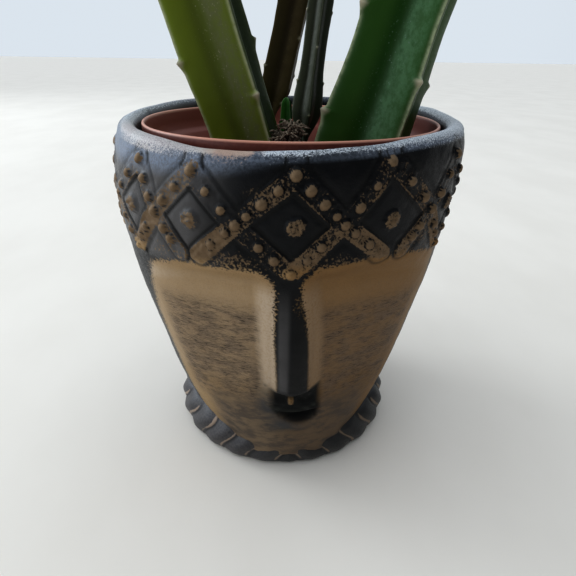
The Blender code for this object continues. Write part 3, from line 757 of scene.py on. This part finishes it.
def planter_bare(s, broad, specks):
    """The lip's bare cast: pale chalk specks over a blue-grey painted sky sheen, and warm plaster at the
    front left.
    """
    # A blue-grey painted sheen of the sky, with pale chalk specks of bare cast.
    chalk_and_sheen = s.mix(s.step(specks, 0.36, 0.6), (0.22, 0.255, 0.31), (0.62, 0.65, 0.68))
    plaster = s.mix(s.step(broad, 0.4, 0.6), (0.5, 0.41, 0.34), (0.47, 0.34, 0.28))
    plaster = s.mix(s.step(specks, 0.52, 0.7, 0, 0.6), plaster, (0.27, 0.21, 0.17))
    return s.mix(s.attribute("warm"), chalk_and_sheen, plaster)


def planter_gold(s, fine, specks, streaks, smears):
    """Gold paint, paler with painted light at the left and by the nose, browner on the headband, scratched
    on the cheeks.
    """
    # Paler gold on the left: painted light.
    gold = s.mix(s.attribute("left"), (0.255, 0.15, 0.062), (0.39, 0.27, 0.145))
    gold = s.mix(s.attribute("upper"), gold, (0.2, 0.138, 0.083))
    gold = s.mix(s.step(specks, 0.5, 0.75, 0, 0.4), gold, (0.12, 0.074, 0.04))
    # Paler gold beside the nose: painted light on the flank facing the light.
    rubbed = s.part("flank", s.step(fine, 0.25, 0.6, 0.5, 0.95))
    gold = s.mix(rubbed, gold, (0.52, 0.42, 0.32))
    worked = s.times(s.step(smears, 0.4, 0.6, 0.35, 0.85), s.attribute("scratch"))
    gold = s.mix(worked, gold, (0.17, 0.13, 0.1))
    cuts = s.times(s.step(streaks, 0.5, 0.58), s.step(smears, 0.38, 0.56, 0.35, 0.95))
    return s.mix(s.times(cuts, s.attribute("scratch")), gold, (0.04, 0.029, 0.022))


# Collar
COLLAR_PROFILE = [(32, 12.9), (35.6, 12.7), (37.6, 11.8), (39.2, 9.6), (40.1, 7), (40.4, 4.6),
                  (40.1, 2.2), (39.3, 0.7), (38.5, 0)]
COLLAR_STRANDS = 24
COLLAR_COLUMNS = 720
COLLAR_ROWS = 34


def make_collar():
    """The foot's rope-like collar, under the chin."""
    turns = full_turn(COLLAR_COLUMNS)
    share = np.linspace(0, len(COLLAR_PROFILE) - 1, COLLAR_ROWS)
    radius = spline([(i, r) for i, (r, _) in enumerate(COLLAR_PROFILE)], share)
    height = spline([(i, h) for i, (_, h) in enumerate(COLLAR_PROFILE)], share)
    turn, r = np.meshgrid(turns, radius)
    _, z = np.meshgrid(turns, height)
    level = 2 * z / 13 - 1
    sway = 0.9 * np.sin(level * math.pi * 0.9) + 1.6 * level
    phase = COLLAR_STRANDS * np.abs(turn) + sway + 0.25 * np.sin(5 * turn)
    side = smooth(31, 36, r) * (1 - level**4)
    wave = np.cos(phase)
    cut = bell(np.mod(phase + math.pi, math.tau) - math.pi, 0.42)
    reach = r + side * (0.25 - 0.45 * wave - 0.35 * cut)
    points = ring_points(reach, turn, z)
    points[..., :2] += (0.15 * grain(points, 0.2, seed=9))[..., None] * points[..., :2] / 40
    stroke = bell(np.mod(phase + math.pi - 0.75, math.tau) - math.pi, 0.62) * side
    # Painted shade in the cuts between strands, and painted light on the left side.
    values = {"gold": stroke, "painted_shade": cut * side, "left": hill(turn, -2.4, -1.7, -0.7, 0.25)}
    piece = grid_piece("planter_collar", points, values, collar_material())
    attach(piece, "root")


def collar_material():
    """Charcoal paint with strokes of gold along the strands, speckled painted light on the left, painted
    shade in the cuts.
    """
    s = Shade("collar_paint", specular=0.45)
    fine = s.noise(1.4, 4)
    broad = s.noise(0.12, 3)
    charcoal = s.mix(s.step(broad, 0.35, 0.65), (0.012, 0.012, 0.013), (0.024, 0.023, 0.023))
    # Lighter, speckled charcoal and paler gold on the left: painted light.
    dust_and_sheen = s.mix(s.step(fine, 0.35, 0.65), (0.036, 0.034, 0.038), (0.075, 0.068, 0.068))
    charcoal = s.mix(s.attribute("left"), charcoal, dust_and_sheen)
    gold = s.mix(s.attribute("left"), (0.2, 0.14, 0.09), (0.36, 0.27, 0.205))
    amount = s.plus(s.attribute("gold"), s.around(broad, 1.2))
    amount = s.plus(amount, s.around(fine, 0.4))
    paint = s.mix(s.step(amount, 0.62, 0.9), charcoal, gold)
    # Painted shade in the cuts.
    paint = s.mix(s.part("painted_shade", 0.7), paint, (0.01, 0.01, 0.012))
    s.colour(paint)
    s.roughness(s.step(fine, 0.3, 0.7, 0.36, 0.5))
    s.bump(fine, 0.2, 0.5)
    return s


# Growing pot, in millimetres
POT_PROFILE = [(0.01, 17.5), (14, 17.5), (26.6, 17.5), (34.2, 60), (41.8, 99.9), (42.4, 100.6),
               (43.2, 101.2), (43.7, 101.9), (43.85, 104.5), (43.9, 107.2), (44, 107.8), (44.2, 108.1),
               (44.5, 108.25), (44.8, 108.05), (44.97, 107.6), (45, 106.5), (44.9, 104),
               (44.8, 100.9), (44.6, 100.4), (44, 100), (43.1, 99.8), (42.8, 99.4), (35.2, 60),
               (27.6, 17.3), (26.6, 16.3), (14, 16.3), (0.01, 16.3)]
POT_COLUMNS = 256
POT_LONG_STEP = 5
POT_FINENESS = 3


def make_nursery_pot():
    """The thin pot, its wall sagging a little out of round."""
    turns = full_turn(POT_COLUMNS)
    rings = []
    for first, last in zip(POT_PROFILE, POT_PROFILE[1:]):
        steps = POT_FINENESS if abs(last[1] - first[1]) > POT_LONG_STEP else 1
        rings += np.linspace(first, last, steps, endpoint=False).tolist()
    rings.append(POT_PROFILE[-1])
    radius, height = np.array(rings).T[:, :, None]
    sag = 0.18 * np.sin(2 * turns + 0.6) + 0.08 * np.sin(5 * turns)
    reach = radius + sag * smooth(30, 44, radius)
    z = height + 0.12 * np.sin(3 * turns + 1) * smooth(100, 108, height)
    points = ring_points(reach, turns, z, MOUTH_SHIFT)
    inside = np.arange(len(rings)) < int(np.argmax(height))
    inside = np.repeat(inside[:, None].astype(float), POT_COLUMNS, 1)
    # A painted highlight on the rim's top, and painted light inside.
    values = {"rim": smooth(107.7, 108, z), "inside": inside}
    piece = grid_piece("nursery_pot_shell", points, values, nursery_material())
    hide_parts("nursery_pot")
    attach(piece, "root")


def nursery_material():
    """Red-brown plastic, with a painted highlight on its rim and painted light inside."""
    s = Shade("nursery_plastic", roughness=0.42, specular=0.4)
    fine = s.noise(0.8, 3)
    colour = s.mix(s.step(fine, 0.35, 0.65), (0.115, 0.022, 0.013), (0.145, 0.032, 0.018))
    # Painted light inside, and a painted highlight on the rim.
    colour = s.mix(s.attribute("inside"), colour, (0.36, 0.11, 0.085))
    s.colour(s.mix(s.attribute("rim"), colour, (0.62, 0.3, 0.21)))
    s.bump(fine, 0.05, 0.4)
    return s


# Soil, in millimetres
SOIL_EDGE = 92
SOIL_MOUND = 6
SOIL_RADIUS = 39.7
SOIL_FLOOR_RADIUS = 26.1
SOIL_FLOOR = 17.9
SOIL_RINGS = 90
SOIL_COLUMNS = 300
LUMP_PLACE = np.array((0.6, -8.5, 101.6))
LUMPS = [((1.8, -8.5), 9.3, 3.3), ((-2.6, -8.8), 7, 2.6)]
SOIL_SEED = 21
CRUMBS = 420
CRUMB_REACH = 0.95
CRUMB_SIZES = (0.35, 1.1)
FIBRES = 150
FIBRE_LENGTHS = (1.6, 4.6)
FIBRE_WIDTHS = (0.22, 0.6)
FIBRE_SIDES = 5
FIBRE_SECTIONS = 5
SOIL_COLOURS = ((0.012, 0.009, 0.007), (0.055, 0.04, 0.028))
CRUMB_COLOURS = ((0.05, 0.038, 0.028), (0.17, 0.135, 0.1))


def soil_height(x, y):
    """Height of the soil: a mound with lumps in front."""
    reach = np.hypot(x - MOUTH_SHIFT, y) / SOIL_RADIUS
    lumps = 0
    for (at_x, at_y), rise, size in LUMPS:
        lumps = np.maximum(lumps, rise * np.exp(-((np.hypot(x - at_x, y - at_y) / size) ** 4)))
    return SOIL_EDGE + SOIL_MOUND * (1 - smooth(0, 1, reach)) + lumps


def make_soil():
    """The soil's crumbly mound down to the growing pot's floor, with its crumbs and fibres."""
    turns = full_turn(SOIL_COLUMNS)
    share = np.linspace(0.01, 1, SOIL_RINGS)[:, None]
    x = MOUTH_SHIFT + share * SOIL_RADIUS * np.sin(turns)
    y = -share * SOIL_RADIUS * np.cos(turns)
    z = soil_height(x, y)
    points = np.stack([x, y, z], axis=-1)
    crumb = 0.9 * grain(points, 0.22, octaves=4, seed=12) + 0.5 * np.abs(grain(points, 0.75, seed=13))
    points[..., 2] += crumb * smooth(1.02, 0.93, share)
    low = ring_points(SOIL_FLOOR_RADIUS, turns, SOIL_FLOOR, MOUTH_SHIFT)
    piece = grid_piece("soil_mound", np.concatenate([points, low[None]]), {}, soil_material())
    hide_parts("soil")
    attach(piece, "root")
    draw = np.random.default_rng(SOIL_SEED)
    make_crumbs(draw)
    make_fibres(draw)


def make_crumbs(draw):
    """Loose crumbs on the soil, a third of them on the lump in front."""
    bm = bmesh.new()
    for number in range(CRUMBS):
        if number % 3 == 0:
            x, y = LUMP_PLACE[:2] + draw.normal(0, 2.6, 2)
        else:
            reach = SOIL_RADIUS * CRUMB_REACH * math.sqrt(draw.uniform(0, 1))
            turn = draw.uniform(0, math.tau)
            x, y = MOUTH_SHIFT + reach * math.sin(turn), -reach * math.cos(turn)
        size = draw.uniform(*CRUMB_SIZES)
        matrix = Matrix.Translation(Vector((x, y, float(soil_height(x, y)) + 0.5)) * MM)
        made = bmesh.ops.create_icosphere(bm, subdivisions=1, radius=size * MM, matrix=matrix)
        for vertex in made["verts"]:
            vertex.co += Vector(draw.normal(0, 0.16 * size * MM, 3))
    add_crumbs("soil_crumbs", bm, soil_material("crumb_earth", CRUMB_COLOURS))


def make_fibres(draw):
    """Short root fibres on the lump in front."""
    bm = bmesh.new()
    for _ in range(FIBRES):
        start = LUMP_PLACE + np.array((*draw.normal(0, 2.2, 2), 0))
        start[2] = float(soil_height(start[0], start[1])) + draw.uniform(-0.4, 1)
        make_fibre(bm, start, draw.uniform(0, math.tau), draw)
    add_crumbs("soil_fibres", bm, fibre_material())


def add_crumbs(name, bm, shade):
    """Loose matter on the soil."""
    piece = piece_from(name, mesh_from(name, bm), shade)
    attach(piece, "root")


def fibre_material():
    """Dull brown root, paler in places."""
    s = Shade("root_fibre", roughness=0.9, specular=0.15)
    fine = s.noise(1.4, 4)
    s.colour(s.mix(s.step(fine, 0.35, 0.65), (0.12, 0.088, 0.062), (0.42, 0.34, 0.26)))
    s.bump(fine, 0.3, 0.6)
    return s


def make_fibre(bm, start, heading, draw):
    """A short, thin, curving tube that narrows towards its end."""
    thick = draw.uniform(*FIBRE_WIDTHS)
    length, bend, lift = draw.uniform(*FIBRE_LENGTHS), draw.uniform(-1.2, 1.2), draw.uniform(0, 1.2)
    rings = []
    for k in range(FIBRE_SECTIONS + 1):
        t = k / FIBRE_SECTIONS
        turn = heading + bend * t
        run = length * t
        middle = start + np.array((run * math.cos(turn), run * math.sin(turn),
                                   lift * math.sin(math.pi * t)))
        across = Vector((-math.sin(turn), math.cos(turn), 0))
        ring = []
        for j in range(FIBRE_SIDES):
            a = math.tau * j / FIBRE_SIDES
            width = thick * (1 - 0.6 * t)
            offset = across * math.cos(a) * width + Vector((0, 0, math.sin(a) * width))
            ring.append(bm.verts.new((Vector(middle) + offset) * MM))
        rings.append(ring)
    for near, far in zip(rings, rings[1:]):
        for j in range(FIBRE_SIDES):
            beside = (j + 1) % FIBRE_SIDES
            bm.faces.new((near[j], near[beside], far[beside], far[j]))
    bm.faces.new(list(reversed(rings[0])))
    bm.faces.new(rings[-1])


def soil_material(name="potting_soil", colours=SOIL_COLOURS):
    """Crumbly earth of two colours, with darker, damper places."""
    s = Shade(name, roughness=0.95, specular=0.15)
    fine = s.noise(1.1, 5)
    coarse = s.noise(0.3, 3)
    colour = s.mix(s.step(fine, 0.35, 0.7), *colours)
    s.colour(s.mix(s.step(coarse, 0.55, 0.75), colour, (0.03, 0.022, 0.016)))
    s.bump(fine, 0.5, 0.8)
    return s


# Stems, in millimetres and degrees, as in the solids
STEM_SOIL = 95
STRAIGHTEN_HEIGHT = 60
STEM_FIELDS = ("place", "length", "buried", "slope", "straighten", "radius", "swell", "narrowing", "turn",
               "pitch", "nodes", "columns", "rows")
STEM_FACTS = {
    "stem_left": ((-9.4, -2.4), 124, 12, (-0.33, -0.02), 0.00053, (12.2, 12.9), (0, 34), (56, 124, 0.12),
                  34.5, 27, (4.5, 19, 4.5, 19), 128, 340),
    "stem_right": ((22.5, -3.6), 138, 12, (0.292, -0.03), 0.00088, (17.7, 15), (0, 40), (62, 138, 0.12),
                   19.3, 27, (26.5, 12.8, 12.8, 26.5), 144, 360),
    "stem_back_left": ((-6.9, 22.5), 96, 12, (0.255, 0.12), 0.0005, (2.6, 7), (11, 21), (43, 96, 0.12),
                       38, 20, (26, 16, 26, 16), 96, 260),
    "stem_back_right": ((6.4, 13.5), 70, 12, (0.125, 0.04), 0.0004, (1.8, 5.3), (3, 14), (14, 27, 0.22),
                        5, 20, (23, 13, 23, 13), 96, 220),
    "shoot": ((0.9, 9.5), 18.5, 8, (0, -0.02), 0, (2.4, 2.6), (0, 8), (9, 18, 0.25), 30, 14,
              (11, 11, 11, 11), 64, 90),
}
STEMS = {name: dict(zip(STEM_FIELDS, facts)) for name, facts in STEM_FACTS.items()}
FACE_DENT = 0.13
RIB_ROUNDING = 0.035
TOOTH_RISE = 0.1
RIB_CROWDING = 0.19
TIP_RINGS = 24


def stem_axis(stem, height):
    """Point of a stem's axis at a height above the soil: it leans, and slowly straightens."""
    lift = np.maximum(height, 0)
    bend = stem["straighten"] * lift**2 / (1 + lift / STRAIGHTEN_HEIGHT)
    slope_x, slope_y = stem["slope"]
    x = stem["place"][0] + slope_x * height - math.copysign(1, slope_x) * bend
    return np.stack([x, stem["place"][1] + slope_y * height, STEM_SOIL + height], axis=-1)


def rib_and_offset(angle):
    """The number of the nearest rib, from 0 to 3, and the angle from it."""
    rib = np.round(angle / (0.5 * math.pi))
    return rib.astype(int) % 4, np.abs(angle - rib * 0.5 * math.pi)


def stem_reach(stem, angle, height):
    """Distance of the skin from the axis, and how much each point belongs to a tooth."""
    top, pitch = float(stem["length"]), float(stem["pitch"])
    low, high = stem["radius"]
    start, end, share = stem["narrowing"]
    radius = low + (high - low) * smooth(*stem["swell"], height)
    radius = radius * (1 - share * smooth(start, end, height))
    rib, from_rib = rib_and_offset(angle)
    flat = math.cos(0.25 * math.pi) / np.cos(0.25 * math.pi - from_rib)
    dent = FACE_DENT * np.sin(2 * from_rib) ** 2
    rounding = RIB_ROUNDING * bell(from_rib, 0.07)
    node = np.array(stem["nodes"], float)[rib]
    above = np.mod(height - node + 0.5 * pitch, pitch) - 0.5 * pitch
    growing = (height > 1) & (height < top - 0.9 * high)
    scale = high / 14
    up = np.where(above > 0, above / scale, -above / (3.6 * scale))
    tooth = np.clip(1 - up, 0, 1) ** 1.5 * bell(from_rib, 0.12) * growing
    swelling = 0.012 * np.cos(math.tau * above / pitch) * bell(from_rib, 0.35) * (height > 0)
    past = np.clip((height - (top - high)) / high, 0, 1)
    closing = root(1 - past**2)
    return radius * (flat - dent - rounding + swelling + TOOTH_RISE * tooth) * closing, tooth


def make_stem(name, stem):
    """A stem with rounded ribs, dented faces and a pointed tooth at each node."""
    top, tip = float(stem["length"]), float(stem["radius"][1])
    closing_heights = top - tip * (1 - np.sin(np.linspace(0, 0.5 * math.pi, TIP_RINGS + 1)[1:-1]))
    body_heights = np.linspace(-stem["buried"], top - tip, stem["rows"] - TIP_RINGS)
    heights = np.concatenate([body_heights, closing_heights, [top - 0.02]])
    turns = full_turn(stem["columns"])
    turns = turns - RIB_CROWDING * np.sin(4 * turns)
    angle, height = np.meshgrid(turns, heights)
    reach, tooth = stem_reach(stem, angle, height)
    axis = stem_axis(stem, height)
    direction = stem_axis(stem, height + 1) - stem_axis(stem, height - 1)
    direction /= np.linalg.norm(direction, axis=-1, keepdims=True)
    across = np.cross(direction, np.array((1, 0, 0)))
    across /= np.linalg.norm(across, axis=-1, keepdims=True)
    other = np.cross(across, direction)
    turn = (angle + math.radians(stem["turn"]))[..., None]
    outward = other * np.cos(turn) + across * np.sin(turn)
    points = axis + reach[..., None] * outward
    wobble = 0.25 * grain(points, 0.06, seed=14) + 0.07 * grain(points, 0.35, seed=15)
    points = points + outward * (wobble * np.minimum(reach, 1))[..., None]
    _, from_rib = rib_and_offset(angle)
    share = np.mod(angle / (0.5 * math.pi), 1)
    values = {
        "edge": bell(from_rib, 0.04),
        "margin": bell(from_rib, 0.2),
        "tooth": np.clip(2.2 * tooth - 0.7, 0, 1),
        "shade": hill(share, 0.22, 0.45, 0.68, 0.86),
        # Painted sheen of the sky beside a rib.
        "sheen_stripe": hill(share, 0.55, 0.72, 0.9, 1),
        # The face on the right, in painted shade.
        "side": ((angle > -0.5 * math.pi) & (angle < 0)).astype(float),
    }
    piece = grid_piece(name + "_flesh", points, values, stem_material(name))
    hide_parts(name)
    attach(piece, "root")


# For each stem: its shaded and its light skin, the painted sheen of the sky beside a rib, the rib's thin
# edge, its specks, and the face on its right in painted shade
STEM_COLOURS = {
    "stem_left": ((0.09, 0.115, 0.016), (0.17, 0.225, 0.018), (0.135, 0.15, 0.06),
                  (0.5, 0.52, 0.34), (0.3, 0.29, 0.17), (0.006, 0.02, 0.002)),
    "stem_right": ((0.008, 0.045, 0.003), (0.03, 0.09, 0.012), (0.085, 0.19, 0.085),
                   (0.5, 0.55, 0.36), (0.14, 0.22, 0.15), (0.03, 0.075, 0.01)),
    "stem_back_left": ((0.03, 0.02, 0.008), (0.06, 0.044, 0.014), (0.07, 0.05, 0.02),
                       (0.12, 0.09, 0.04), (0.1, 0.08, 0.04), (0.055, 0.045, 0.016)),
    "stem_back_right": ((0.032, 0.036, 0.022), (0.07, 0.078, 0.05), (0.1, 0.11, 0.08),
                        (0.16, 0.17, 0.12), (0.15, 0.16, 0.12), (0.035, 0.04, 0.025)),
    "shoot": ((0.016, 0.09, 0.008), (0.04, 0.18, 0.022), (0.05, 0.16, 0.04),
              (0.4, 0.5, 0.32), (0.2, 0.3, 0.14), (0.012, 0.07, 0.01)),
}
TOOTH_COLOUR = (0.48, 0.44, 0.32)


def stem_material(name):
    """Waxy skin: painted light and shade on each face, a painted sky sheen beside a rib, pale rib edges,
    specks.
    """
    dark, light, sheen_stripe, edge, speck, side = STEM_COLOURS[name]
    s = Shade(name + "_skin", specular=0.14)
    broad = s.noise(0.06, 3, stretch=(1, 1, 0.4))
    fine = s.noise(1.3, 4)
    veins = s.noise(0.55, 5, stretch=(1, 1, 0.7), rough=0.7)
    specks = s.cells(1.3)
    skin = s.mix(s.step(broad, 0.3, 0.7, 0, 0.4), light, dark)
    skin = s.mix(s.part("shade", 0.85), skin, dark)
    # Painted sheen of the sky beside a rib.
    skin = s.mix(s.part("sheen_stripe", s.step(veins, 0.35, 0.62, 0.45, 1)), skin, sheen_stripe)
    grainy = s.times(s.step(specks, 0.3, 0.12), s.step(veins, 0.45, 0.62))
    mottled = s.times(s.plus(s.attribute("shade"), s.attribute("sheen_stripe")), 0.55)
    skin = s.mix(s.times(grainy, mottled), skin, speck)
    # Painted shade on the face to the right.
    skin = s.mix(s.part("side", 0.9), skin, side)
    skin = s.mix(s.part("margin", 0.25), skin, light)
    skin = s.mix(s.part("edge", s.step(veins, 0.3, 0.6, 0.35, 0.85)), skin, edge)
    skin = s.mix(s.attribute("tooth"), skin, TOOTH_COLOUR)
    s.colour(skin)
    s.roughness(s.step(fine, 0.3, 0.7, 0.34, 0.48))
    s.shader.inputs["Subsurface Weight"].default_value = 0.06
    s.shader.inputs["Subsurface Radius"].default_value = (0.002, 0.003, 0.001)
    s.bump(fine, 0.12, 0.45)
    return s


# Room: how bright it is on the camera's side, and the brightness that the ceiling, the wall behind the
# plant and the bright wall on the left add, each from one share of its axis to another
ROOM_DIM = 0.03
ROOM_SIDES = [("Z", 0.2, 1, 0.92), ("Y", 0, 0.9, 0.75), ("X", -0.45, -1, 2.1)]
ROOM_COLOUR = (0.86, 0.93, 1)
WINDOW_PLACE = (-1.3, 0.7, 0.9)
WINDOW_SIZE = (0.6, 0.6)
WINDOW_POWER = 7
WINDOW_COLOUR = (0.85, 0.93, 1)
WINDOW_TARGET = (0, 0, 0.06)
FLOOR_HALF = 40
FLOOR_COLOURS = ((0.79, 0.735, 0.665), (0.83, 0.775, 0.705))
VIEW_GAMMA = 0.82
VIEW_EXPOSURE = 0.17


def make_camera():
    data = bpy.data.cameras.new("camera")
    data.sensor_width = SENSOR
    data.lens = FOCAL_PIXELS / FRAME_PIXELS * SENSOR
    data.clip_start = 0.01
    camera = add_object("camera", data)
    camera.matrix_world = (Matrix.Rotation(math.radians(-FACE_TURN), 4, "Z")
                           @ Matrix.Translation(CAMERA_PLACE)
                           @ Matrix.Rotation(math.radians(90 - CAMERA_PITCH), 4, "X")
                           @ Matrix.Rotation(math.radians(CAMERA_ROLL), 4, "Z"))
    bpy.context.scene.camera = camera


def make_window():
    """A soft area light, high behind the plant on its left."""
    data = bpy.data.lights.new("window", "AREA")
    data.shape = "RECTANGLE"
    data.size, data.size_y = WINDOW_SIZE
    data.energy = WINDOW_POWER
    data.color = WINDOW_COLOUR
    light = add_object("window", data)
    light.location = WINDOW_PLACE
    aim = Vector(WINDOW_TARGET) - Vector(WINDOW_PLACE)
    light.rotation_euler = aim.to_track_quat("-Z", "Y").to_euler()


def make_stage():
    """A wide pale floor, and the room's light."""
    bm = bmesh.new()
    bmesh.ops.create_grid(bm, x_segments=8, y_segments=8, size=FLOOR_HALF)
    floor = add_object("floor", mesh_from("floor", bm))
    s = Shade("floor_paint", roughness=0.55, specular=0.3)
    broad = s.noise(0.012, 4, stretch=(1, 0.6, 1))
    s.colour(s.mix(s.step(broad, 0.3, 0.7), *FLOOR_COLOURS))
    floor.data.materials.append(s.material)
    make_room()


def make_room():
    """Soft daylight from above, from behind and from the left, with a dim room on the camera's side."""
    world = bpy.data.worlds.new("room")
    w = Wiring(world)
    bpy.context.scene.world = world
    split = w.node("SeparateXYZ", {0: w.node("TexCoord", {}).outputs["Generated"]})
    total = ROOM_DIM
    for axis, start, end, brightness in ROOM_SIDES:
        total = w.plus(w.step(split.outputs[axis], start, end, 0, brightness), total)
    background = w.tree.nodes["Background"]
    w.put(background.inputs["Color"], ROOM_COLOUR)
    w.put(background.inputs["Strength"], total)
    make_window()


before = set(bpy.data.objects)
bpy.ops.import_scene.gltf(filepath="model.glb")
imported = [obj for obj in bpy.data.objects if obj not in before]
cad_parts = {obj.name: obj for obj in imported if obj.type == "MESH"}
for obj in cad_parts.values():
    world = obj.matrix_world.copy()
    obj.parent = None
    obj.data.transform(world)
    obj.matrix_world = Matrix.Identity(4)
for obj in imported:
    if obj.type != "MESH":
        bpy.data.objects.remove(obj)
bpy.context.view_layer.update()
bpy.context.scene.view_settings.view_transform = "Standard"
bpy.context.scene.view_settings.gamma = VIEW_GAMMA
bpy.context.scene.view_settings.exposure = VIEW_EXPOSURE
make_camera()
make_stage()
make_planter()
make_collar()
make_nursery_pot()
make_soil()
for stem_name, stem_facts in STEMS.items():
    make_stem(stem_name, stem_facts)
